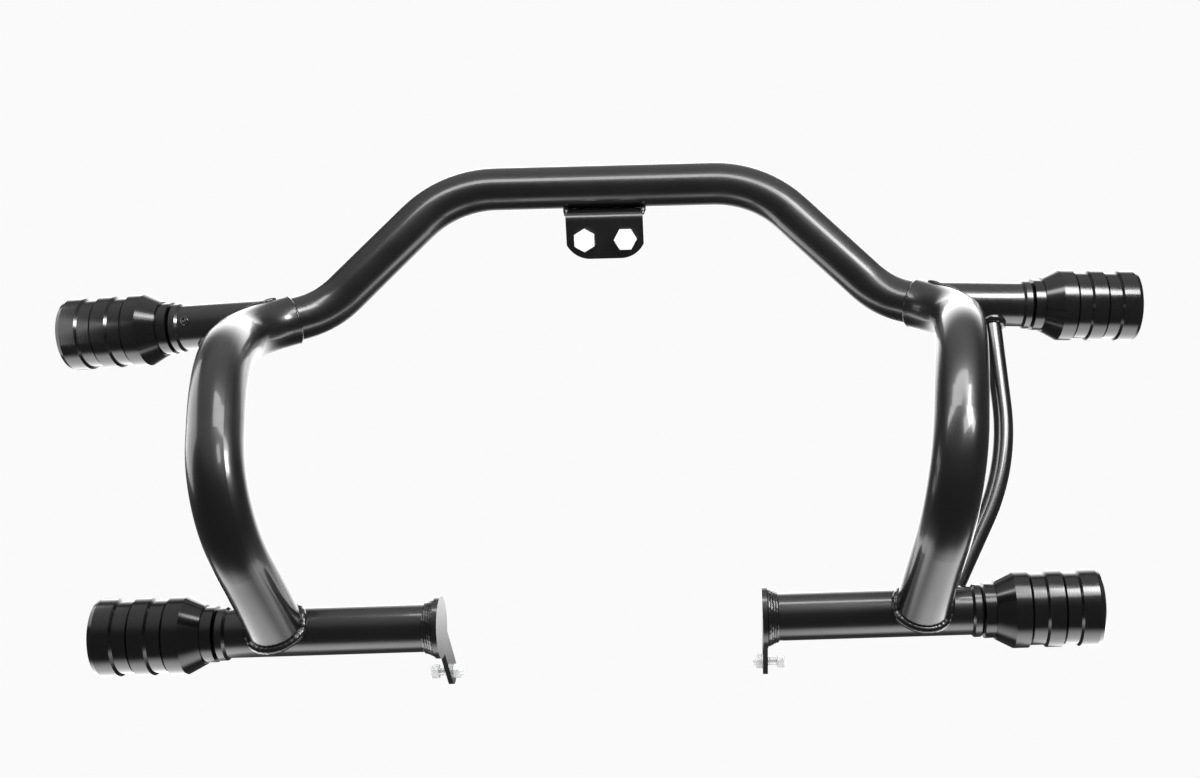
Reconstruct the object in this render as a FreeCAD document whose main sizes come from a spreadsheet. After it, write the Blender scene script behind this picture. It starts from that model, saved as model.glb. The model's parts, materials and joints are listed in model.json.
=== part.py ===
import FreeCAD, Part

import math
import os
import re

import Sketcher
from FreeCAD import Placement, Rotation, Vector

# Crash bars for a motorcycle: a bent top bar, two side loops, four stubs that carry
# turned plastic sliders, two brace rods, two flange plates and a bracket under the bar.
# X runs to the right, Y to the back, Z up. The origin lies on the back face of the
# centre bracket, halfway between its two studs. The left half mirrors the right half.

SIZES = [
    ("bar_od", 28.6, "outer diameter of the top bar and the stubs"),
    ("bar_wall", 2.0, "wall of the top bar and the stubs"),
    ("loop_od", 32.0, "outer diameter of the side loops"),
    ("loop_wall", 2.0, "wall of the side loops"),
    ("rod_diameter", 12.5, "brace rod"),
    ("bar_back", 12.0, "top bar axis behind the bracket's back face"),
    ("bar_rise", 33.3, "top bar axis above the studs"),
    ("shoulder_out", 102.5, "first corner of the top bar from the middle"),
    ("elbow_out", 181.5, "second corner of the top bar, outwards"),
    ("elbow_forward", 36.0, "second corner, forwards of the bar's axis"),
    ("elbow_drop", 72.5, "second corner, below the bar's axis"),
    ("joint_out", 201.5, "butt joint of bar and loop, outwards"),
    ("joint_forward", 48.5, "butt joint, forwards"),
    ("joint_drop", 76.0, "butt joint, below"),
    ("shoulder_radius", 72.0, "bend of the bar at its first corner"),
    ("elbow_radius", 55.5, "bend of the bar at its second corner"),
    ("loop_lead", 31.0, "from the butt joint to the loop's first corner"),
    ("crown_out", 217.5, "second corner of the loop, outwards"),
    ("crown_forward", 157.5, "second corner of the loop, forwards"),
    ("crown_drop", 80.0, "second corner of the loop, below"),
    ("nose_out", 206.0, "third corner of the loop, outwards"),
    ("nose_forward", 231.0, "third corner of the loop, forwards"),
    ("nose_drop", 148.0, "third corner of the loop, below"),
    ("landing_out", 189.2, "loop's foot on the lower stub, outwards"),
    ("landing_ahead", 8.6, "loop's foot, forwards of the lower stub's axis"),
    ("landing_above", 4.8, "loop's foot, above the lower stub's axis"),
    ("lead_radius", 48.0, "bend of the loop at its first corner"),
    ("crown_radius", 108.0, "bend of the loop at its second corner"),
    ("nose_radius", 60.0, "bend of the loop at its third corner"),
    ("lower_forward", 181.0, "lower stub axis, forwards of the bar's axis"),
    ("lower_drop", 240.0, "lower stub axis, below the bar's axis"),
    ("flange_out", 95.2, "inner face of the flange plate from the middle"),
    ("lower_reach", 226.4, "outer end of the lower stub's end plug"),
    ("upper_root_out", 12.5, "start of the upper stub's axis, outwards of the butt joint"),
    ("upper_root_forward", 5.8, "start of the upper stub's axis, forwards of the butt joint"),
    ("upper_root_rise", 0.2, "start of the upper stub's axis, above the butt joint"),
    ("upper_length", 62.8, "upper stub from its start to the outer face of its plug"),
    ("upper_sweep", 5.0, "degrees that the upper stub turns to the back"),
    ("upper_droop", 3.0, "degrees that the upper stub falls"),
    ("rod_top_along", 36.0, "brace rod's top, along the upper stub from its start"),
    ("rod_knee_out", 252.6, "brace rod's knee, outwards"),
    ("rod_knee_forward", 118.0, "brace rod's knee, forwards"),
    ("rod_knee_drop", 168.0, "brace rod's knee, below"),
    ("rod_foot_inside", 13.4, "brace rod's foot inwards of the end plug's collar"),
    ("rod_foot_back", 8.0, "brace rod's foot behind the lower stub's axis"),
    ("rod_radius", 160.0, "bend of the brace rod at its knee"),
    ("plug_length", 18.0, "end plug inside its tube"),
    ("plug_collar", 7.0, "width of the end plug's collar"),
    ("plug_proud", 1.4, "collar's step above the tube"),
    ("plug_round", 1.6, "rounding of the collar's edges"),
    ("slip", 0.1, "clearance of a plug in its tube, on the radius"),
    ("bolt_diameter", 10.0, "slider bolt"),
    ("thread_slip", 0.05, "clearance of a thread, on the radius"),
    ("bolt_grip", 14.0, "slider bolt inside the end plug"),
    ("bolt_head", 16.0, "diameter of the slider bolt's head"),
    ("bolt_head_height", 10.0, "slider bolt's head"),
    ("bolt_socket", 8.0, "hexagon socket across its flats"),
    ("bolt_socket_depth", 5.0, "depth of the hexagon socket"),
    ("washer_diameter", 20.0, "washer under the slider bolt's head"),
    ("washer_height", 2.0, "thickness of that washer"),
    ("bolt_slip", 0.5, "clearance of the slider's bore round its bolt, on the radius"),
    ("slider_length", 70.0, "slider from neck to end"),
    ("slider_gap", 0.6, "gap between the plug's collar and the slider's neck"),
    ("rib_diameter", 46.0, "largest diameter of a slider"),
    ("land_diameter", 43.0, "slider between its ribs"),
    ("neck_diameter", 33.0, "slider's neck"),
    ("neck_length", 6.5, "length of the neck"),
    ("cone_length", 10.5, "cone from the neck to the first rib"),
    ("cone_step", 1.0, "step between neck and cone, on the radius"),
    ("rib_width", 9.0, "width of a rib"),
    ("groove_width", 1.7, "narrow groove beside a rib"),
    ("groove_depth", 1.2, "depth of that groove below the land"),
    ("land_width", 7.7, "width of the land between two ribs"),
    ("rib_slope", 1.4, "length of the slope up to the second and third ribs"),
    ("end_round", 3.4, "rounding of the slider's outer end"),
    ("well_diameter", 22.0, "counterbore for the bolt's head"),
    ("well_depth", 30.0, "depth of the counterbore"),
    ("bracket_width", 51.0, "centre bracket"),
    ("bracket_plate", 4.0, "thickness of the bracket's plate"),
    ("bracket_below", 12.7, "bracket's lower edge below the studs"),
    ("bracket_leg", 8.0, "bracket's leg beyond the bar's axis"),
    ("bend_radius", 3.0, "inner bend of the bracket"),
    ("corner_out", 15.5, "rounded lower corner of the bracket, sideways"),
    ("corner_up", 9.5, "rounded lower corner of the bracket, upwards"),
    ("stud_spacing", 27.0, "distance between the two bracket bolts"),
    ("stud_diameter", 8.0, "bracket bolt"),
    ("stud_free", 22.0, "bracket bolt behind the bracket"),
    ("stud_slip", 0.2, "clearance of a bracket hole, on the radius"),
    ("stud_thread", 0.2, "bracket bolt's thread below its shank, on the radius"),
    ("stud_flats", 13.0, "bracket bolt's head across its flats"),
    ("stud_head", 5.5, "height of the bracket bolt's head"),
    ("chamfer_circle", 0.95, "circle on a bolt head's top face, as a share of its flats"),
    ("chamfer_angle", 30.0, "degrees between that face and the turned-off corners"),
    ("flange_plate", 3.0, "thickness of the flange plate"),
    ("flange_round", 18.5, "radius of the flange plate round the stub"),
    ("tab_length", 49.9, "from the stub's axis to the tab's end circle"),
    ("tab_round", 8.0, "radius of the tab's end"),
    ("tab_angle", 36.7, "degrees that the tab leans to the back"),
    ("tab_bolt_diameter", 5.0, "bolt in the tab"),
    ("tab_bolt_flats", 8.0, "its head across its flats"),
    ("tab_bolt_head", 4.6, "its head's height"),
    ("tab_bolt_stand", 6.0, "its head's distance from the plate"),
    ("tab_bolt_tail", 2.0, "its thread beyond the nut"),
    ("tab_nut_height", 4.0, "nut on the tab"),
    ("tab_slip", 0.3, "clearance of the tab's hole, on the radius"),
]

doc = FreeCAD.newDocument("CrashBars")
sheet = doc.addObject("Spreadsheet::Sheet", "Sizes")
for row, (alias, value, note) in enumerate(SIZES, start=1):
    sheet.set(f"A{row}", alias)
    sheet.set(f"B{row}", str(value))
    sheet.set(f"C{row}", note)
    sheet.setAlias(f"B{row}", alias)
doc.recompute()

NAMES = {alias for alias, value, note in SIZES}
nodes = {}


def linked(text):
    """Writes a formula of size names as an expression on the sheet."""
    return re.sub(r"[a-z_]+", lambda m: f"Sizes.{m[0]}" if m[0] in NAMES else m[0], text)


def size(text):
    """The value of a formula of size names."""
    result = sheet.evalExpression(linked(text))
    return float(getattr(result, "Value", result))


def bind(thing, **formulas):
    for prop, text in formulas.items():
        thing.setExpression(prop, linked(text))
    return thing


def keep(name, thing):
    thing.Label = name
    nodes[name] = thing
    return thing


def spot(out, forward, drop, side=1):
    """A point given from the top bar's axis at the middle."""
    return Vector(side * size(out), size("bar_back") - size(forward), size("bar_rise") - size(drop))


def facing(direction):
    """The turn that takes +Z to a direction."""
    return Rotation(Vector(0, 0, 1), direction)


# Routes of bent tubes: straight runs joined by tangent arcs.

def route(name, corners, radii):
    edges = []
    start = corners[0]
    for corner, following, radius in zip(corners[1:-1], corners[2:], radii):
        inward = (corner - start).normalize()
        outward = (following - corner).normalize()
        turn = inward.getAngle(outward)
        tangent = radius * math.tan(turn / 2)
        first = corner - inward * tangent
        last = corner + outward * tangent
        middle = corner + (outward - inward).normalize() * (radius / math.cos(turn / 2) - radius)
        edges.append(Part.LineSegment(start, first).toShape())
        edges.append(Part.Arc(first, middle, last).toShape())
        start = last
    edges.append(Part.LineSegment(start, corners[-1]).toShape())
    path = doc.addObject("Part::Feature", name + "_route")
    path.Shape = Part.Wire(edges)
    path.addProperty("App::PropertyVector", "Start").Start = corners[0]
    path.addProperty("App::PropertyVector", "Heading").Heading = (corners[1] - corners[0]).normalize()
    return path


def swept(name, path, radius):
    """A round bar of one radius along a route."""
    ring = bind(doc.addObject("Part::Circle", name + "_circle"), Radius=radius)
    ring.Placement = Placement(path.Start, facing(path.Heading))
    sweep = doc.addObject("Part::Sweep", name)
    sweep.Sections = [ring]
    sweep.Spine = (path, [f"Edge{n + 1}" for n in range(len(path.Shape.Edges))])
    sweep.Solid = True
    sweep.Frenet = False
    return sweep


def rod(name, start, heading, radius, length):
    """A straight round bar."""
    bar = bind(doc.addObject("Part::Cylinder", name), Radius=radius, Height=length)
    bar.Placement = Placement(start, facing(heading))
    return bar


def cut(name, base, tool):
    result = doc.addObject("Part::Cut", name)
    result.Base = base
    result.Tool = tool
    return result


# Top bar and side loops.

def bar_corners(side):
    return [
        spot("shoulder_out", "0", "0", side),
        spot("elbow_out", "elbow_forward", "elbow_drop", side),
        spot("joint_out", "joint_forward", "joint_drop", side),
    ]


def loop_corners(side):
    elbow, joint = bar_corners(side)[1:]
    return [
        joint,
        joint + (joint - elbow).normalize() * size("loop_lead"),
        spot("crown_out", "crown_forward", "crown_drop", side),
        spot("nose_out", "nose_forward", "nose_drop", side),
        spot("landing_out", "lower_forward + landing_ahead", "lower_drop - landing_above", side),
    ]


def make_crossbar():
    corners = bar_corners(-1)[::-1] + bar_corners(1)
    bends = [size(text) for text in ("elbow_radius", "shoulder_radius")]
    path = route("crossbar", corners, bends + bends[::-1])
    outside = swept("crossbar_outside", path, "bar_od / 2")
    inside = swept("crossbar_inside", path, "bar_od / 2 - bar_wall")
    keep("crossbar", cut("crossbar_tube", outside, inside))


def make_loop(word, side, lower_outside):
    bends = [size(text) for text in ("lead_radius", "crown_radius", "nose_radius")]
    path = route(f"loop_{word}", loop_corners(side), bends)
    outside = swept(f"loop_outside_{word}", path, "loop_od / 2")
    inside = swept(f"loop_inside_{word}", path, "loop_od / 2 - loop_wall")
    tube = cut(f"loop_tube_{word}", outside, inside)
    keep(f"loop_{word}", cut(f"loop_coped_{word}", tube, lower_outside))
    return outside


# Stubs: straight tubes, the upper one coped round the loop.

def upper_line(side):
    start = spot("joint_out + upper_root_out", "joint_forward + upper_root_forward",
                 "joint_drop - upper_root_rise", side)
    sweep = math.radians(size("upper_sweep"))
    droop = math.radians(size("upper_droop"))
    heading = Vector(side * math.cos(sweep) * math.cos(droop),
                     math.sin(sweep) * math.cos(droop), -math.sin(droop))
    return start, heading


def lower_line(side):
    start = spot("flange_out + flange_plate", "lower_forward", "lower_drop", side)
    return start, Vector(side, 0, 0)


def stub_tube(name, line, length):
    start, heading = line
    outside = rod(name + "_outside", start, heading, "bar_od / 2", length)
    inside = rod(name + "_inside", start, heading, "bar_od / 2 - bar_wall", length)
    return outside, cut(name + "_tube", outside, inside)


# Turned pieces: a closed profile of (radius, height) turned round the Z axis.

def plane_sketch(body, name, role):
    sketch = body.newObject("Sketcher::SketchObject", name)
    origin = next(f for f in body.Origin.OriginFeatures if f.Role == role)
    sketch.AttachmentSupport = (origin, [""])
    sketch.MapMode = "FlatFace"
    return sketch


def outline(sketch, corners):
    """Closed outline whose corners are pairs of formulas, each bound to the sheet."""
    points = [Vector(size(across), size(up), 0) for across, up in corners]
    lines = []
    for start, end in zip(points, points[1:] + points[:1]):
        lines.append(sketch.addGeometry(Part.LineSegment(start, end), False))
    for line, following in zip(lines, lines[1:] + lines[:1]):
        sketch.addConstraint(Sketcher.Constraint("Coincident", line, 2, following, 1))
    for line, point, pair in zip(lines, points, corners):
        for kind, axis, value, text in (("DistanceX", -2, point.x, pair[0]),
                                        ("DistanceY", -1, point.y, pair[1])):
            if abs(value) < 1e-9:
                sketch.addConstraint(Sketcher.Constraint("PointOnObject", line, 1, axis))
            else:
                index = sketch.addConstraint(Sketcher.Constraint(kind, -1, 1, line, 1, value))
                sketch.setExpression(f"Constraints[{index}]", linked(text))


def turned(name, profile):
    body = doc.addObject("PartDesign::Body", name)
    sketch = plane_sketch(body, name + "_profile", "XZ_Plane")
    outline(sketch, profile)
    turn = body.newObject("PartDesign::Revolution", name + "_turn")
    turn.Profile = sketch
    turn.ReferenceAxis = (sketch, ["V_Axis"])
    turn.Angle = 360
    body.Tip = turn
    return body


def plug_profile():
    tube_bore = "bar_od / 2 - bar_wall - slip"
    collar = "bar_od / 2 + plug_proud"
    thread = "bolt_diameter / 2 + thread_slip"
    return [
        (thread, "0 - plug_length - plug_collar"),
        (tube_bore, "0 - plug_length - plug_collar"),
        (tube_bore, "0 - plug_collar"),
        ("bar_od / 2 + plug_proud - plug_round", "0 - plug_collar"),
        (collar, "plug_round - plug_collar"),
        (collar, "0 - plug_round"),
        ("bar_od / 2 + plug_proud - plug_round", "0"),
        (thread, "0"),
    ]


def slider_profile():
    """Neck, cone, then three ribs, each but the last followed by a groove and a land."""
    bore = "bolt_diameter / 2 + bolt_slip"
    rib = "rib_diameter / 2"
    land = "land_diameter / 2"
    corners = [
        (bore, "0"),
        ("neck_diameter / 2", "0"),
        ("neck_diameter / 2", "neck_length"),
        ("neck_diameter / 2 + cone_step", "neck_length"),
        (rib, "neck_length + cone_length"),
    ]
    rib_start = "neck_length + cone_length"
    for _ in range(2):
        rib_end = f"{rib_start} + rib_width"
        land_start = f"{rib_end} + groove_width"
        land_end = f"{land_start} + land_width"
        corners += [
            (rib, rib_end),
            (f"{land} - groove_depth", f"{rib_end} + groove_width / 2"),
            (land, land_start),
            (land, land_end),
        ]
        rib_start = f"{land_end} + rib_slope"
        corners += [(rib, rib_start)]
    corners += [
        (rib, "slider_length - end_round"),
        ("rib_diameter / 2 - end_round * 0.3", "slider_length - end_round * 0.3"),
        ("rib_diameter / 2 - end_round", "slider_length"),
        ("well_diameter / 2", "slider_length"),
        ("well_diameter / 2", "slider_length - well_depth"),
        (bore, "slider_length - well_depth"),
    ]
    return corners


def seated(body, point, heading):
    body.Placement = Placement(point, facing(heading))
    return body


def prism(name, flats, height, point, heading, turn=0):
    """A hexagonal prism that starts at a point, turned about its own axis."""
    shape = bind(doc.addObject("Part::Prism", name), Height=height, Circumradius=f"{flats} / sqrt(3)")
    shape.Polygon = 6
    shape.Placement = Placement(point, facing(heading) * Rotation(Vector(0, 0, 1), turn))
    return shape


def hex_head(name, flats, height, point, heading, turn=0):
    """A bolt head from its seat outwards, its corners turned off by a cone."""
    hexagon = prism(name + "_hexagon", flats, height, point, heading, turn)
    cone = bind(doc.addObject("Part::Cone", name + "_cone"), Height=height,
                Radius1=f"{flats} * chamfer_circle / 2 + {height} / tan(chamfer_angle)",
                Radius2=f"{flats} * chamfer_circle / 2")
    cone.Placement = Placement(point, facing(heading))
    head = doc.addObject("Part::Common", name)
    head.Base = hexagon
    head.Tool = cone
    return head


def make_slider_set(word, mouth, heading):
    """End plug, slider, washer and bolt on one stub; the mouth is the plug's outer face."""
    keep(f"{word}_plug", seated(turned(f"plug_{word}", plug_profile()), mouth, heading))
    foot = mouth + heading * size("slider_gap")
    keep(f"{word}_slider", seated(turned(f"slider_{word}", slider_profile()), foot, heading))
    seat = foot + heading * size("slider_length - well_depth")
    disc = rod(f"washer_disc_{word}", seat, heading, "washer_diameter / 2", "washer_height")
    hole = rod(f"washer_hole_{word}", seat, heading, "bolt_diameter / 2 + bolt_slip", "washer_height")
    keep(f"{word}_slider_washer", cut(f"washer_{word}", disc, hole))
    under_head = seat + heading * size("washer_height")
    tip = mouth - heading * size("bolt_grip")
    grip = "bolt_grip + slider_gap + slider_length - well_depth + washer_height"
    shank = rod(f"shank_{word}", tip, heading, "bolt_diameter / 2", grip)
    head = rod(f"head_{word}", under_head, heading, "bolt_head / 2", "bolt_head_height")
    whole = doc.addObject("Part::Fuse", f"bolt_whole_{word}")
    whole.Base = shank
    whole.Tool = head
    socket_floor = under_head + heading * size("bolt_head_height - bolt_socket_depth")
    socket = prism(f"socket_{word}", "bolt_socket", "bolt_socket_depth", socket_floor, heading)
    keep(f"{word}_slider_bolt", cut(f"bolt_{word}", whole, socket))


# Flange plate: a round plate with a tab that leans down and to the back.

def make_flange(word, side):
    start, heading = lower_line(side)
    inner = start - heading * size("flange_plate")
    lean = math.radians(size("tab_angle"))
    down = Vector(0, math.sin(lean), -math.cos(lean))
    tip = inner + down * size("tab_length")
    disc = rod(f"flange_disc_{word}", inner, heading, "flange_round", "flange_plate")
    toe = rod(f"flange_toe_{word}", tip, heading, "tab_round", "flange_plate")
    web = bind(doc.addObject("Part::Box", f"flange_web_{word}"),
               Length="flange_plate", Width="tab_round * 2", Height="tab_length")
    across = Vector(0, math.cos(lean), math.sin(lean))
    corner = tip - across * size("tab_round") - Vector(size("flange_plate") if side < 0 else 0, 0, 0)
    web.Placement = Placement(corner, Rotation(Vector(1, 0, 0), math.degrees(lean)))
    plate = doc.addObject("Part::MultiFuse", f"flange_whole_{word}")
    plate.Shapes = [disc, toe, web]
    plate.Refine = True
    hole = rod(f"flange_hole_{word}", tip, heading, "tab_bolt_diameter / 2 + tab_slip", "flange_plate")
    keep(f"flange_plate_{word}", cut(f"flange_{word}", plate, hole))

    nut_face = tip - heading * size("tab_nut_height")
    nut = prism(f"nut_hex_{word}", "tab_bolt_flats", "tab_nut_height", nut_face, heading)
    thread = rod(f"nut_thread_{word}", nut_face, heading,
                 "tab_bolt_diameter / 2 + thread_slip", "tab_nut_height")
    keep(f"flange_nut_{word}", cut(f"nut_{word}", nut, thread))

    tail = nut_face - heading * size("tab_bolt_tail")
    reach = "tab_bolt_tail + tab_nut_height + flange_plate + tab_bolt_stand"
    shank = rod(f"tab_shank_{word}", tail, heading, "tab_bolt_diameter / 2", reach)
    head = hex_head(f"tab_head_{word}", "tab_bolt_flats", "tab_bolt_head",
                    tail + heading * size(reach), heading)
    bolt = doc.addObject("Part::Fuse", f"tab_bolt_{word}")
    bolt.Base = shank
    bolt.Tool = head
    keep(f"flange_bolt_{word}", bolt)


# Centre bracket: one plate bent to an L, its leg under the bar, and its two bolts.

def make_bracket():
    body = doc.addObject("PartDesign::Body", "bracket")
    side_view = plane_sketch(body, "bracket_side_view", "YZ_Plane")
    top = size("bar_rise - bar_od / 2")
    plate = size("bracket_plate")
    inner = size("bend_radius")
    outer = inner + plate
    back = size("bar_back + bracket_leg")
    foot = -size("bracket_below")
    diagonal = math.sqrt(0.5)
    centre = Vector(inner, top - outer, 0)
    points = [
        Vector(back, top, 0), Vector(inner, top, 0), Vector(-plate, top - outer, 0),
        Vector(-plate, foot, 0), Vector(0, foot, 0), Vector(0, top - outer, 0),
        Vector(inner, top - plate, 0), Vector(back, top - plate, 0),
    ]
    knee_out = centre + Vector(-diagonal, diagonal, 0) * outer
    knee_in = centre + Vector(-diagonal, diagonal, 0) * inner
    geometry = [
        Part.LineSegment(points[0], points[1]),
        Part.Arc(points[1], knee_out, points[2]),
        Part.LineSegment(points[2], points[3]),
        Part.LineSegment(points[3], points[4]),
        Part.LineSegment(points[4], points[5]),
        Part.Arc(points[5], knee_in, points[6]),
        Part.LineSegment(points[6], points[7]),
        Part.LineSegment(points[7], points[0]),
    ]
    for shape in geometry:
        side_view.addGeometry(shape, False)
    pad = body.newObject("PartDesign::Pad", "bracket_pad")
    pad.Profile = side_view
    pad.Midplane = True
    bind(pad, Length="bracket_width")
    doc.recompute()

    front_view = plane_sketch(body, "bracket_front_view", "XZ_Plane")
    half = size("bracket_width") / 2
    across = size("corner_out")
    up = size("corner_up")
    radius = (across ** 2 + up ** 2) / (2 * up)
    beyond = size("bracket_plate")
    sweep = math.asin(across / radius)
    for side in (-1, 1):
        start = Vector(side * (half - across), foot, 0)
        end = Vector(side * half, foot + up, 0)
        middle = Vector(side * (half - across + radius * math.sin(sweep / 2)),
                        foot + radius * (1 - math.cos(sweep / 2)), 0)
        clear_side = Vector(side * (half + beyond), foot + up, 0)
        clear_corner = Vector(side * (half + beyond), foot - beyond, 0)
        clear_foot = Vector(side * (half - across), foot - beyond, 0)
        front_view.addGeometry(Part.Arc(start, middle, end), False)
        for one, other in ((end, clear_side), (clear_side, clear_corner),
                           (clear_corner, clear_foot), (clear_foot, start)):
            front_view.addGeometry(Part.LineSegment(one, other), False)
        hole = Part.Circle(Vector(side * size("stud_spacing") / 2, 0, 0), Vector(0, 0, 1),
                           size("stud_diameter / 2 + stud_slip"))
        front_view.addGeometry(hole, False)
    pocket = body.newObject("PartDesign::Pocket", "bracket_cut")
    pocket.Profile = front_view
    pocket.Type = "ThroughAll"
    pocket.Midplane = True
    body.Tip = pocket
    keep("centre_bracket", body)

    back_way = Vector(0, 1, 0)
    for word, side, turn in (("left", -1, 30), ("right", 1, 0)):
        middle = Vector(side * size("stud_spacing") / 2, 0, 0)
        under_head = middle - back_way * size("bracket_plate")
        shank = rod(f"stud_{word}", under_head, back_way, "stud_diameter / 2", "bracket_plate")
        thread = rod(f"stud_thread_{word}", middle, back_way,
                     "stud_diameter / 2 - stud_thread", "stud_free")
        head = hex_head(f"stud_head_{word}", "stud_flats", "stud_head", under_head, -back_way, turn)
        bolt = doc.addObject("Part::MultiFuse", f"stud_bolt_{word}")
        bolt.Shapes = [shank, thread, head]
        keep(f"bracket_bolt_{word}", bolt)


def make_side(word, side):
    lower_start, outwards = lower_line(side)
    lower_outside, lower_tube = stub_tube(
        f"lower_{word}", (lower_start, outwards), "lower_reach - flange_out - flange_plate - plug_collar")
    keep(f"lower_stub_{word}", lower_tube)
    loop_outside = make_loop(word, side, lower_outside)

    upper_start, upper_way = upper_line(side)
    upper_outside, upper_tube = stub_tube(
        f"upper_{word}", (upper_start, upper_way), "upper_length - plug_collar")
    keep(f"upper_stub_{word}", cut(f"upper_coped_{word}", upper_tube, loop_outside))

    corners = [
        upper_start + upper_way * size("rod_top_along"),
        spot("rod_knee_out", "rod_knee_forward", "rod_knee_drop", side),
        spot("lower_reach - plug_collar - rod_foot_inside", "lower_forward - rod_foot_back",
             "lower_drop", side),
    ]
    path = route(f"brace_{word}", corners, [size("rod_radius")])
    bar = swept(f"brace_bar_{word}", path, "rod_diameter / 2")
    top_coped = cut(f"brace_top_{word}", bar, upper_outside)
    foot_coped = cut(f"brace_foot_{word}", top_coped, lower_outside)
    keep(f"brace_rod_{word}", cut(f"brace_clear_{word}", foot_coped, loop_outside))

    make_flange(word, side)
    lower_mouth = Vector(side * size("lower_reach"), lower_start.y, lower_start.z)
    make_slider_set(f"lower_{word}", lower_mouth, outwards)
    upper_mouth = upper_start + upper_way * size("upper_length")
    make_slider_set(f"upper_{word}", upper_mouth, upper_way)


make_crossbar()
make_bracket()
make_side("left", -1)
make_side("right", 1)
doc.recompute()

for thing in doc.Objects:
    if "Invalid" in thing.State or "Error" in thing.State:
        raise RuntimeError(f"{thing.Name} failed: {thing.State}")
for name, thing in nodes.items():
    shape = thing.Shape
    if shape.isNull() or not shape.isValid() or not shape.Solids:
        raise RuntimeError(f"{name} has no valid solid")

os.makedirs("parts", exist_ok=True)
for name, thing in nodes.items():
    thing.Shape.exportStep(f"parts/{name}.step")
print(len(nodes), "nodes written")
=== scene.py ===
import json
import math

import bpy
from mathutils import Euler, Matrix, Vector
from mathutils.bvhtree import BVHTree


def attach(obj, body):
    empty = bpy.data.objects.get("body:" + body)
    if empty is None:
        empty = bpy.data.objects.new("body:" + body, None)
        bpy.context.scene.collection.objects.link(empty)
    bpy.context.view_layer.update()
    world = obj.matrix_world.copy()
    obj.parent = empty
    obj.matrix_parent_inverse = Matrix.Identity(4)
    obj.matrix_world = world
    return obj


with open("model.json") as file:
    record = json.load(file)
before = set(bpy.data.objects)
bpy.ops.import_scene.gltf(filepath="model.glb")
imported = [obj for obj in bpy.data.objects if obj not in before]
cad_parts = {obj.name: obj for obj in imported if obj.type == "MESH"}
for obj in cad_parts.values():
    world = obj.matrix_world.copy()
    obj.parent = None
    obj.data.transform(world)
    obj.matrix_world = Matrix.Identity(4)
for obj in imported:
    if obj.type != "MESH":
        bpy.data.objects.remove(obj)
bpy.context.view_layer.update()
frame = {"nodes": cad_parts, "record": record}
nodes = frame["nodes"]
scene = bpy.context.scene
scene.view_settings.view_transform = "Standard"
print("frame loaded,", len(nodes), "CAD nodes")


def addNode(tree, kind, settings=None, inputs=None):
    node = tree.nodes.new(kind)
    for name, value in (settings or {}).items():
        setattr(node, name, value)
    for name, value in (inputs or {}).items():
        if isinstance(value, bpy.types.NodeSocket):
            tree.links.new(value, node.inputs[name])
        else:
            node.inputs[name].default_value = value
    return node


def linearColour(hexText):
    channels = [int(hexText[i:i + 2], 16) / 255 for i in (1, 3, 5)]
    return [c / 12.92 if c <= 0.04045 else ((c + 0.055) / 1.055) ** 2.4 for c in channels] + [1.0]


def mm(*values):
    return (Vector(values) if len(values) == 3 else values[0]) / 1000


# Camera at the photograph's viewing angle.

cameraPlace = {
    "location": (81.2, -1093.0, 139.0),     # mm
    "turn": (75.978, 1.321, -1.529),        # degrees
    "sensor": 36,                           # mm
    "lens": 49.35,                          # mm
    "shift": (-0.139, 0.034),
    "clip": (0.05, 60),                     # m
}


def makeCamera(place):
    lensData = bpy.data.cameras.new("photoCamera")
    lensData.sensor_width = place["sensor"]
    lensData.lens = place["lens"]
    lensData.shift_x, lensData.shift_y = place["shift"]
    lensData.clip_start, lensData.clip_end = place["clip"]
    camera = bpy.data.objects.new("photoCamera", lensData)
    camera.location = mm(*place["location"])
    camera.rotation_euler = Euler([math.radians(a) for a in place["turn"]], "XYZ")
    scene.collection.objects.link(camera)
    scene.camera = camera


makeCamera(cameraPlace)
print("camera placed")


# Studio: white paper under and behind the object, a dark room in front of it. The camera sees
# plain white everywhere, and each level below is what the gloss on the object sees instead.
# These gloss levels are painted reflections: they light nothing, and the light from all round
# stays at the plain ambient level.

studio = {
    "white": "#fafafa",           # what the camera sees of paper and backdrop
    "ambient": 1.0,               # plain light from all round
    "floorDrop": 430,             # mm below the studs
    "floorSize": 30000,           # mm
    "floorColour": "#f2f2f1",
    "roomLevel": 0.1,             # the dark room, a painted shade that only reflections show
    "ceilingLevel": 0.7,
    "ceilingFrom": (0.45, 0.95),  # how steeply up the ceiling starts and is full, as sines
    "backdropLevel": 4.2,
    "behindFrom": 0.74,           # how squarely behind the backdrop starts, as a cosine
    "paperStart": (230, 620),     # mm behind the studs where the painted light on the paper begins, seen only in reflections
    "paperLevel": 2.2,
    "glowLevel": 3.9,             # painted pools of light on the paper below the feet, seen only in reflections
    "glowRise": (-480, -290),     # their front edge, mm
    "glowFall": (-240, -170),     # their back edge, mm
    "glowInner": (-40, 200),      # where they fade towards the middle, mm
    "glowMiddle": 0.3,            # their share that is left in the middle
    "glowOuter": (520, 700),      # where they fade at the sides, mm
    "glowBend": 270,              # mm from the middle where both edges turn to the back
    "glowSlopes": (0.7, 4.0),     # how fast the front and the back edge turn there
}

# Places and aims in mm. Each lamp stands in for one light that tubes or sliders mirror in the
# photo.
lampPlan = {
    "ceilingLamp": {"place": (70, -205, 290), "aim": (70, -40, -20), "size": (560, 90),
                    "watts": 1.5},
    "sliderLamp": {"place": (490, -350, 430), "aim": (330, -100, -120), "size": (190, 230),
                   "watts": 3.2},
    "sideWindow": {"place": (1000, -520, 800), "aim": (0, -219, -95), "size": (280, 420),
                   "watts": 5.6},
    "keyWindow": {"place": (660, -1078, 1600), "aim": (140, -100, -60), "size": (460, 560),
                  "watts": 7.0},
    "leftPaper": {"place": (-430, -95, -15), "aim": (0, -120, -40), "size": (240, 210),
                  "watts": 0.42},
}


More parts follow.
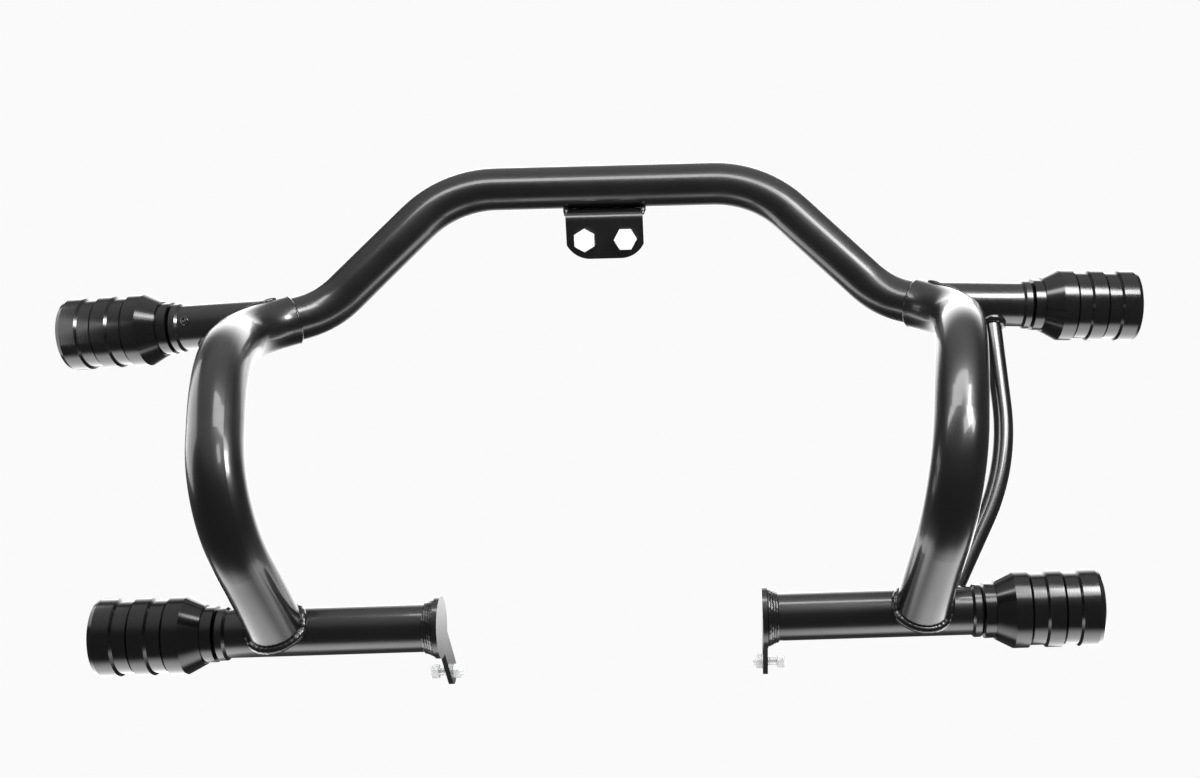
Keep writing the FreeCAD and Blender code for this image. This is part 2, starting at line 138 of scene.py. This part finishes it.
def brightRays(tree):
    rays = addNode(tree, "ShaderNodeLightPath")
    both = addNode(tree, "ShaderNodeMath", {"operation": "MAXIMUM"},
                   {0: rays.outputs["Is Glossy Ray"], 1: rays.outputs["Is Transmission Ray"]})
    return rays.outputs["Is Camera Ray"], both.outputs[0]


def raySwitch(tree, plain, gloss, camera):
    cameraRay, glossRay = brightRays(tree)
    indirect = addNode(tree, "ShaderNodeMix", {"data_type": "FLOAT"},
                       {0: glossRay, 2: plain, 3: gloss})
    return addNode(tree, "ShaderNodeMix", {"data_type": "FLOAT"},
                   {0: cameraRay, 2: indirect.outputs[0], 3: camera}).outputs[0]


# A level times one soft fade for each row of value, start, end, low and high.
def fadedLevel(tree, level, fades):
    for value, start, end, low, high in fades:
        fade = addNode(tree, "ShaderNodeMapRange", {"interpolation_type": "SMOOTHSTEP"},
                       {"Value": value, "From Min": start, "From Max": end,
                        "To Min": low, "To Max": high})
        level = addNode(tree, "ShaderNodeMath", {"operation": "MULTIPLY"},
                        {0: fade.outputs[0], 1: level}).outputs[0]
    return level


# The world lights the object at the plain ambient level. Gloss sees painted reflections instead: a
# bright backdrop behind, a paler ceiling above and a dark room in front.
def makeWorld(sizes):
    world = bpy.data.worlds.new("studioWorld")
    scene.world = world
    world.use_nodes = True
    tree = world.node_tree
    tree.nodes.clear()
    direction = addNode(tree, "ShaderNodeTexCoord").outputs["Generated"]
    parts = addNode(tree, "ShaderNodeSeparateXYZ", None, {0: direction}).outputs
    behind = fadedLevel(tree, sizes["backdropLevel"],
                        [(parts["Y"], sizes["behindFrom"], 1.0, 0.0, 1.0)])
    above = fadedLevel(tree, 1.0, [(parts["Z"], *sizes["ceilingFrom"],
                                    sizes["roomLevel"], sizes["ceilingLevel"])])
    gloss = addNode(tree, "ShaderNodeMath", {"operation": "ADD"}, {0: behind, 1: above})
    strength = raySwitch(tree, sizes["ambient"], gloss.outputs[0],
                         linearColour(sizes["white"])[0])
    sky = addNode(tree, "ShaderNodeBackground", None,
                  {"Color": (1, 1, 1, 1), "Strength": strength})
    addNode(tree, "ShaderNodeOutputWorld", None, {"Surface": sky.outputs[0]})


# What gloss sees of the paper: painted reflections of a lit strip behind the object and of painted
# pools of light below the feet, over the dark room's level. None of it lights the object.
def paperGloss(tree, sizes):
    place = addNode(tree, "ShaderNodeTexCoord").outputs["Object"]
    parts = addNode(tree, "ShaderNodeSeparateXYZ", None, {0: place}).outputs
    across, back = parts["X"], parts["Y"]
    level = addNode(tree, "ShaderNodeCombineXYZ", None, {0: across, 1: back})
    unit = addNode(tree, "ShaderNodeVectorMath", {"operation": "NORMALIZE"},
                   {0: level.outputs[0]})
    squarely = addNode(tree, "ShaderNodeSeparateXYZ", None, {0: unit.outputs[0]}).outputs["Y"]
    paper = fadedLevel(tree, sizes["paperLevel"],
                       [(squarely, sizes["behindFrom"], 1.0, 0.0, 1.0),
                        (back, *map(mm, sizes["paperStart"]), 0.0, 1.0)])
    outwards = addNode(tree, "ShaderNodeMath", {"operation": "ABSOLUTE"}, {0: across}).outputs[0]
    beyond = addNode(tree, "ShaderNodeMath", {"operation": "SUBTRACT"},
                     {0: outwards, 1: mm(sizes["glowBend"])})
    turned = addNode(tree, "ShaderNodeMath", {"operation": "MAXIMUM"},
                     {0: beyond.outputs[0], 1: 0.0})
    frontEdge, backEdge = (addNode(tree, "ShaderNodeMath", {"operation": "MULTIPLY_ADD"},
                                   {0: turned.outputs[0], 1: -slope, 2: back}).outputs[0]
                           for slope in sizes["glowSlopes"])
    # Painted pools of light below the feet, dimmer in the middle, that only reflections show. They
    # paint the light patches on the loops' feet.
    glow = fadedLevel(tree, sizes["glowLevel"],
                      [(frontEdge, *map(mm, sizes["glowRise"]), 0.0, 1.0),
                       (backEdge, *map(mm, sizes["glowFall"]), 1.0, 0.0),
                       (outwards, *map(mm, sizes["glowInner"]), sizes["glowMiddle"], 1.0),
                       (outwards, *map(mm, sizes["glowOuter"]), 1.0, 0.0)])
    lit = addNode(tree, "ShaderNodeMath", {"operation": "ADD"}, {0: paper, 1: glow})
    return addNode(tree, "ShaderNodeMath", {"operation": "ADD"},
                   {0: lit.outputs[0], 1: sizes["roomLevel"]}).outputs[0]


# The camera sees plain white, gloss sees the painted reflection levels of the paper, and all other
# rays meet the matt paper colour.
def makeFloor(sizes):
    half = mm(sizes["floorSize"]) / 2
    level = -mm(sizes["floorDrop"])
    sheet = bpy.data.meshes.new("studioFloor")
    sheet.from_pydata([(-half, -half, level), (half, -half, level), (half, half, level),
                       (-half, half, level)], [], [(0, 1, 2, 3)])
    paint = bpy.data.materials.new("whitePaper")
    paint.use_nodes = True
    tree = paint.node_tree
    tree.nodes.clear()
    strength = raySwitch(tree, 0.0, paperGloss(tree, sizes), linearColour(sizes["white"])[0])
    cameraRay, glossRay = brightRays(tree)
    share = addNode(tree, "ShaderNodeMath", {"operation": "MAXIMUM"}, {0: cameraRay, 1: glossRay})
    matt = addNode(tree, "ShaderNodeBsdfDiffuse", None,
                   {"Color": linearColour(sizes["floorColour"])})
    glow = addNode(tree, "ShaderNodeEmission", None,
                   {"Color": (1, 1, 1, 1), "Strength": strength})
    both = addNode(tree, "ShaderNodeMixShader", None,
                   {0: share.outputs[0], 1: matt.outputs[0], 2: glow.outputs[0]})
    addNode(tree, "ShaderNodeOutputMaterial", None, {"Surface": both.outputs[0]})
    sheet.materials.append(paint)
    floor = bpy.data.objects.new("studioFloor", sheet)
    scene.collection.objects.link(floor)


def makeLamps(plan):
    for name, row in plan.items():
        light = bpy.data.lights.new(name, "AREA")
        light.shape = "RECTANGLE"
        light.size, light.size_y = map(mm, row["size"])
        light.energy = row["watts"]
        lamp = bpy.data.objects.new(name, light)
        lamp.location = mm(*row["place"])
        ahead = mm(*row["aim"]) - lamp.location
        lamp.rotation_euler = ahead.to_track_quat("-Z", "Y").to_euler()
        lamp.visible_camera = False
        scene.collection.objects.link(lamp)


makeWorld(studio)
makeFloor(studio)
makeLamps(lampPlan)
print("studio ready")


# Finishes: one dictionary per finish, with the sizes and depths of its patterns in mm. In patches
# as large as cloud, the gloss wanders between the two values of rough.

cloudBand = (0.3, 0.7)     # nearly all of a noise texture lies between these

coatLook = {
    "colour": "#0b0b0c", "ior": 1.5,
    "rough": (0.26, 0.36), "cloud": 45,
    "lacquer": 0.5, "lacquerRough": 0.08,       # the smooth skin of the melted powder
    "peel": 1.3, "peelDepth": 0.010,
    "weldLump": 2.6, "weldLumpDepth": 0.08,
}

nylonLook = {
    "colour": "#0d0d0e", "ior": 1.53,
    "rough": (0.14, 0.22), "cloud": 30,
    "ring": 1.6, "ringDepth": 0.006,
}

zincLook = {
    "colour": "#e2e3e3", "metal": 0.3,
    "rough": (0.36, 0.5), "cloud": 8,
    "grain": 0.7, "grainDepth": 0.006,
}

oxideLook = {
    "colour": "#2a2a2c", "metal": 1.0,
    "rough": (0.35, 0.5), "cloud": 8,
    "grain": 0.6, "grainDepth": 0.008,
}


def newFinish(name):
    finish = bpy.data.materials.new(name)
    finish.use_nodes = True
    tree = finish.node_tree
    tree.nodes.clear()
    place = addNode(tree, "ShaderNodeTexCoord").outputs["Object"]
    return finish, tree, place


def cloudyRoughness(tree, place, look):
    cloud = addNode(tree, "ShaderNodeTexNoise", None,
                    {"Vector": place, "Scale": 1 / mm(look["cloud"]), "Detail": 3.0,
                     "Roughness": 0.6})
    low, high = look["rough"]
    return addNode(tree, "ShaderNodeMapRange", None,
                   {"Value": cloud.outputs[0], "From Min": cloudBand[0],
                    "From Max": cloudBand[1], "To Min": low, "To Max": high}).outputs[0]


# Gloss black powder coat, sprayed dry and melted on: cloudy gloss and orange peel make soft,
# slightly broken highlights. Over a weld, lumps add the knobbly skin of the bead below.
def makePowderCoat(name, look, overWeld=False):
    finish, tree, place = newFinish(name)
    peel = addNode(tree, "ShaderNodeTexNoise", None,
                   {"Vector": place, "Scale": 1 / mm(look["peel"]), "Detail": 1.5})
    bump = addNode(tree, "ShaderNodeBump", None,
                   {"Strength": 1.0, "Distance": mm(look["peelDepth"]),
                    "Height": peel.outputs[0]})
    if overWeld:
        lump = addNode(tree, "ShaderNodeTexNoise", None,
                       {"Vector": place, "Scale": 1 / mm(look["weldLump"]), "Detail": 3.0})
        bump = addNode(tree, "ShaderNodeBump", None,
                       {"Strength": 1.0, "Distance": mm(look["weldLumpDepth"]),
                        "Height": lump.outputs[0], "Normal": bump.outputs[0]})
    shader = addNode(tree, "ShaderNodeBsdfPrincipled", None,
                     {"Base Color": linearColour(look["colour"]), "IOR": look["ior"],
                      "Roughness": cloudyRoughness(tree, place, look),
                      "Coat Weight": look["lacquer"], "Coat Roughness": look["lacquerRough"],
                      "Normal": bump.outputs[0]})
    addNode(tree, "ShaderNodeOutputMaterial", None, {"Surface": shader.outputs[0]})
    return finish


# Turned black nylon: fine rings from the lathe draw the highlights out along the slider.
# The lathe's real feed of about 0.2 mm is too fine to show, so the rings stand 1.6 mm apart.
def makeNylon(name, look):
    finish, tree, place = newFinish(name)
    waveScale = 2 * math.pi / 20 / mm(look["ring"])     # a wave texture turns 20 radians per unit
    rings = addNode(tree, "ShaderNodeTexWave", {"wave_type": "BANDS", "bands_direction": "X"},
                    {"Vector": place, "Scale": waveScale, "Distortion": 0.4, "Detail": 1.0})
    bump = addNode(tree, "ShaderNodeBump", None,
                   {"Strength": 1.0, "Distance": mm(look["ringDepth"]),
                    "Height": rings.outputs["Fac"]})
    shader = addNode(tree, "ShaderNodeBsdfPrincipled", None,
                     {"Base Color": linearColour(look["colour"]), "IOR": look["ior"],
                      "Roughness": cloudyRoughness(tree, place, look),
                      "Normal": bump.outputs[0]})
    addNode(tree, "ShaderNodeOutputMaterial", None, {"Surface": shader.outputs[0]})
    return finish


# Plated or oxidised steel: fine grain and patchy gloss dull the reflections. The grain of a real
# plating is well under 0.1 mm, too fine to show, so it is drawn coarser.
# Real zinc is all metal, but flat faces of it would mirror the dark room as a mid grey. The low
# metallic value keeps them as pale as in the photo.
def makeMetal(name, look):
    finish, tree, place = newFinish(name)
    grain = addNode(tree, "ShaderNodeTexNoise", None,
                    {"Vector": place, "Scale": 1 / mm(look["grain"]), "Detail": 2.0})
    bump = addNode(tree, "ShaderNodeBump", None,
                   {"Strength": 1.0, "Distance": mm(look["grainDepth"]),
                    "Height": grain.outputs[0]})
    shader = addNode(tree, "ShaderNodeBsdfPrincipled", None,
                     {"Base Color": linearColour(look["colour"]), "Metallic": look["metal"],
                      "Roughness": cloudyRoughness(tree, place, look),
                      "Normal": bump.outputs[0]})
    addNode(tree, "ShaderNodeOutputMaterial", None, {"Surface": shader.outputs[0]})
    return finish


powderCoat = makePowderCoat("glossBlackPowderCoat", coatLook)
coatedWeld = makePowderCoat("powderCoatOverWeld", coatLook, overWeld=True)
turnedNylon = makeNylon("turnedNylon", nylonLook)
brightZinc = makeMetal("brightZincPlate", zincLook)
blackOxide = makeMetal("blackOxideSteel", oxideLook)

finishOfSlot = {"powder_coat": powderCoat, "slider_plastic": turnedNylon,
                "zinc_plate": brightZinc, "black_oxide": blackOxide}
for part in frame["record"]["subparts"]:
    node = nodes[part["node"]]
    for holder in node.material_slots:
        holder.material = finishOfSlot[part["material_slot"]]
print("finishes on the CAD nodes")


# Weld beads along every joint of the tubes.

tubePlan = {
    # right half, mm; the left half mirrors it
    "butt": (201.5, -36.5, -42.7), "elbow": (181.5, -24.0, -39.2),
    "noseCorner": (206.0, -219.0, -114.7), "landing": (189.2, -177.6, -201.9),
    "stubRoot": (214.0, -42.3, -42.5), "stubSweep": 5.0, "stubDroop": 3.0,     # both in degrees
    "rodKnee": (252.6, -106.0, -134.7), "rodTopAlong": 36.0, "rodFoot": (206.0, -161.0, -206.7),
    "barRadius": 14.3, "loopRadius": 16.0, "rodRadius": 6.25,
    "flangeOuter": 98.2, "stubAxis": (-169.0, -206.7),
    "bracketEdge": 25.4,
    "bracketSeam": ((-1.5, 16.0), (1.5, 18.5), (5.5, 20.2), (12, 19.4), (18.5, 20.2),
                    (21.0, 18.0)),      # along the bracket's edge, back and up
    "plugWeldAlong": 51.0, "plugWeldFacing": (-0.09, -0.89, 0.45),     # left upper stub only
}

weldLook = {
    # mm; a bead's number is its radius, and depths are shares of it
    "buttBead": 1.2, "buttStep": 0.6,      # the step is from the bar's surface to the bead's middle
    "footBead": 2.8, "stubBead": 1.2, "rodBead": 3.2, "bracketBead": 2.0,
    "flangePasses": ((0.8, 15.9, 1.5), (2.2, 15.2, 1.5),
                     (3.8, 14.6, 1.4), (5.4, 14.2, 1.3)),     # away from the plate, ring, bead
    "plugWeldRing": 1.6, "plugWeldBead": 1.5,
    "openEnd": 0.45,      # share of the bead left at an end that stays open
    "ripplePitch": 3.2, "rippleDepth": 0.03, "lumpSize": 9.0, "lumpDepth": 0.5,
    "spacing": 0.6, "sides": 12, "seed": 5.0,
}

seamSearch = {
    "tubeRays": 72, "tubeStandOff": 50,     # mm
    "rodRays": 40, "rodStandOff": 45,
    "plugWeldPoints": 24, "longestRay": 90,
}


def sideways(values, side):
    return mm(values[0] * side, values[1], values[2])


def hostTree(*names):
    verts, faces = [], []
    for name in names:
        mesh = nodes[name].data
        base = len(verts)
        verts += [v.co.copy() for v in mesh.vertices]
        faces += [[base + i for i in p.vertices] for p in mesh.polygons]
    return BVHTree.FromPolygons(verts, faces)


def ring(centre, direction, radius, count):
    direction = direction.normalized()
    across = direction.orthogonal().normalized()
    other = direction.cross(across)
    return [centre + (across * math.cos(a) + other * math.sin(a)) * radius
            for a in (2 * math.pi * i / count for i in range(count))]


# Rays run from a rim that stands off from the joint's middle, and the seam lies where they land
# on the host. Rays that pass it by take a place between their neighbours, or with an overhang
# they stop level with the middle.
def seamAround(host, middle, direction, radius, search, kind, overhang=False):
    rays, standOff = search[kind + "Rays"], mm(search[kind + "StandOff"])
    rim = ring(middle - direction * standOff, direction, radius, rays)
    direction = direction.normalized()
    reach = [host.ray_cast(point, direction, mm(search["longestRay"]))[3] for point in rim]
    if overhang:
        reach = [standOff if hit is None else min(hit, standOff) for hit in reach]
    known = [i for i, hit in enumerate(reach) if hit is not None]
    points = []
    for i, (point, hit) in enumerate(zip(rim, reach)):
        if hit is None:
            before = min(known, key=lambda k: (i - k) % rays)
            after = min(known, key=lambda k: (k - i) % rays)
            share = ((i - before) % rays) / ((after - before) % rays)
            hit = reach[before] * (1 - share) + reach[after] * share
        points.append(point + direction * hit)
    return points


def weldSeams(plan, look, search):
    seams = []     # points, closed or not, radius of the bead

    def add(points, bead, closed=True):
        seams.append((points, closed, mm(bead)))

    bar, loop, rod = (mm(plan[name]) for name in ("barRadius", "loopRadius", "rodRadius"))
    sweep, droop = math.radians(plan["stubSweep"]), math.radians(plan["stubDroop"])
    for word, side in (("left", -1), ("right", 1)):
        butt, elbow, nose, landing, root, knee, foot = (
            sideways(plan[name], side) for name in
            ("butt", "elbow", "noseCorner", "landing", "stubRoot", "rodKnee", "rodFoot"))
        lowerStub, plug = f"lower_stub_{word}", f"lower_{word}_plug"
        loopTube, upperStub = f"loop_{word}", f"upper_stub_{word}"

        add(ring(butt, butt - elbow, mm(plan["barRadius"] + look["buttStep"]),
                 search["tubeRays"]), look["buttBead"])
        add(seamAround(hostTree(lowerStub), landing, (landing - nose).normalized(), loop,
                       search, "tube", overhang=True), look["footBead"])

        out = Vector((side * math.cos(sweep) * math.cos(droop),
                      math.sin(sweep) * math.cos(droop), -math.sin(droop)))
        add(seamAround(hostTree(loopTube, "crossbar"), root, -out, bar, search, "tube"),
            look["stubBead"])
        if word == "left":
            facing = Vector(plan["plugWeldFacing"]).normalized()
            spot = root + out * mm(plan["plugWeldAlong"]) + facing * bar
            add(ring(spot, facing, mm(look["plugWeldRing"]), search["plugWeldPoints"]),
                look["plugWeldBead"])

        top = root + out * mm(plan["rodTopAlong"])
        add(seamAround(hostTree(upperStub, f"upper_{word}_plug"), top, (top - knee).normalized(),
                       rod, search, "rod"), look["rodBead"])
        add(seamAround(hostTree(lowerStub, loopTube, plug), foot, (foot - knee).normalized(),
                       rod, search, "rod"), look["rodBead"])

        for away, radius, bead in look["flangePasses"]:
            axis = mm(side * (plan["flangeOuter"] + away), *plan["stubAxis"])
            add(ring(axis, Vector((side, 0, 0)), mm(radius), search["tubeRays"]), bead)
        add([mm(side * plan["bracketEdge"], *point) for point in plan["bracketSeam"]],
            look["bracketBead"], closed=False)
    return seams


# The bead follows its line, and its radius swells with even ripples and random lumps.
def beadTree():
    tree = bpy.data.node_groups.new("weldBead", "GeometryNodeTree")
    inputs = {"Geometry": "NodeSocketGeometry", "Spacing": "NodeSocketFloat",
              "Ripple Pitch": "NodeSocketFloat", "Ripple Depth": "NodeSocketFloat",
              "Lump Size": "NodeSocketFloat", "Lump Depth": "NodeSocketFloat",
              "Sides": "NodeSocketInt", "Seed": "NodeSocketFloat",
              "Material": "NodeSocketMaterial"}
    for name, kind in inputs.items():
        tree.interface.new_socket(name, in_out="INPUT", socket_type=kind)
    tree.interface.new_socket("Geometry", in_out="OUTPUT", socket_type="NodeSocketGeometry")
    given = addNode(tree, "NodeGroupInput").outputs
    path = addNode(tree, "GeometryNodeMeshToCurve", None, {"Mesh": given["Geometry"]})
    even = addNode(tree, "GeometryNodeResampleCurve", {"mode": "LENGTH"},
                   {"Curve": path.outputs[0], "Length": given["Spacing"]})
    along = addNode(tree, "GeometryNodeSplineParameter")
    turns = addNode(tree, "ShaderNodeMath", {"operation": "DIVIDE"},
                    {0: along.outputs["Length"], 1: given["Ripple Pitch"]})
    phase = addNode(tree, "ShaderNodeMath", {"operation": "MULTIPLY"},
                    {0: turns.outputs[0], 1: 2 * math.pi})
    wave = addNode(tree, "ShaderNodeMath", {"operation": "SINE"}, {0: phase.outputs[0]})
    ripple = addNode(tree, "ShaderNodeMath", {"operation": "MULTIPLY"},
                     {0: wave.outputs[0], 1: given["Ripple Depth"]})
    scale = addNode(tree, "ShaderNodeMath", {"operation": "DIVIDE"},
                    {0: 1.0, 1: given["Lump Size"]})
    spot = addNode(tree, "GeometryNodeInputPosition")
    noise = addNode(tree, "ShaderNodeTexNoise", {"noise_dimensions": "4D"},
                    {"Vector": spot.outputs[0], "W": given["Seed"], "Scale": scale.outputs[0],
                     "Detail": 1.0})
    centred = addNode(tree, "ShaderNodeMath", {"operation": "SUBTRACT"},
                      {0: noise.outputs[0], 1: 0.5})
    lump = addNode(tree, "ShaderNodeMath", {"operation": "MULTIPLY"},
                   {0: centred.outputs[0], 1: given["Lump Depth"]})
    swell = addNode(tree, "ShaderNodeMath", {"operation": "ADD"},
                    {0: ripple.outputs[0], 1: lump.outputs[0]})
    whole = addNode(tree, "ShaderNodeMath", {"operation": "ADD"}, {0: swell.outputs[0], 1: 1.0})
    bead = addNode(tree, "GeometryNodeInputNamedAttribute", {"data_type": "FLOAT"},
                   {"Name": "bead"})
    thick = addNode(tree, "ShaderNodeMath", {"operation": "MULTIPLY"},
                    {0: bead.outputs[0], 1: whole.outputs[0]})
    profile = addNode(tree, "GeometryNodeCurvePrimitiveCircle", None,
                      {"Resolution": given["Sides"], "Radius": 1.0})
    tube = addNode(tree, "GeometryNodeCurveToMesh", None,
                   {"Curve": even.outputs[0], "Profile Curve": profile.outputs[0],
                    "Scale": thick.outputs[0], "Fill Caps": True})
    soft = addNode(tree, "GeometryNodeSetShadeSmooth", None, {0: tube.outputs[0]})
    real = addNode(tree, "GeometryNodeRealizeInstances", None, {0: soft.outputs[0]})
    done = addNode(tree, "GeometryNodeSetMaterial", None,
                   {"Geometry": real.outputs[0], "Material": given["Material"]})
    addNode(tree, "NodeGroupOutput", None, {0: done.outputs[0]})
    return tree


def makeWelds(plan, look, search):
    verts, edges, radii = [], [], []
    for points, closed, radius in weldSeams(plan, look, search):
        base, count = len(verts), len(points)
        verts += points
        edges += [(base + i, base + i + 1) for i in range(count - 1)]
        if closed:
            edges.append((base + count - 1, base))
        radii += [radius if closed or 0 < i < count - 1 else radius * look["openEnd"]
                  for i in range(count)]
    lines = bpy.data.meshes.new("weldLines")
    lines.from_pydata(verts, edges, [])
    lines.attributes.new("bead", "FLOAT", "POINT").data.foreach_set("value", radii)
    carrier = bpy.data.objects.new("weldLines", lines)
    scene.collection.objects.link(carrier)
    tree = beadTree()
    modifier = carrier.modifiers.new("weldBead", "NODES")
    modifier.node_group = tree
    values = {"Spacing": mm(look["spacing"]), "Ripple Pitch": mm(look["ripplePitch"]),
              "Ripple Depth": look["rippleDepth"], "Lump Size": mm(look["lumpSize"]),
              "Lump Depth": look["lumpDepth"], "Sides": look["sides"], "Seed": look["seed"],
              "Material": coatedWeld}
    for item in tree.interface.items_tree:
        if item.in_out == "INPUT" and item.name in values:
            modifier[item.identifier] = values[item.name]
    bpy.context.view_layer.update()
    solid = carrier.evaluated_get(bpy.context.evaluated_depsgraph_get())
    mesh = bpy.data.meshes.new_from_object(solid)
    bpy.data.objects.remove(carrier)
    welds = bpy.data.objects.new("weld_beads", mesh)
    scene.collection.objects.link(welds)
    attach(welds, "root")
    return welds


weldBeads = makeWelds(tubePlan, weldLook, seamSearch)
print("weld beads:", len(weldBeads.data.polygons), "faces")
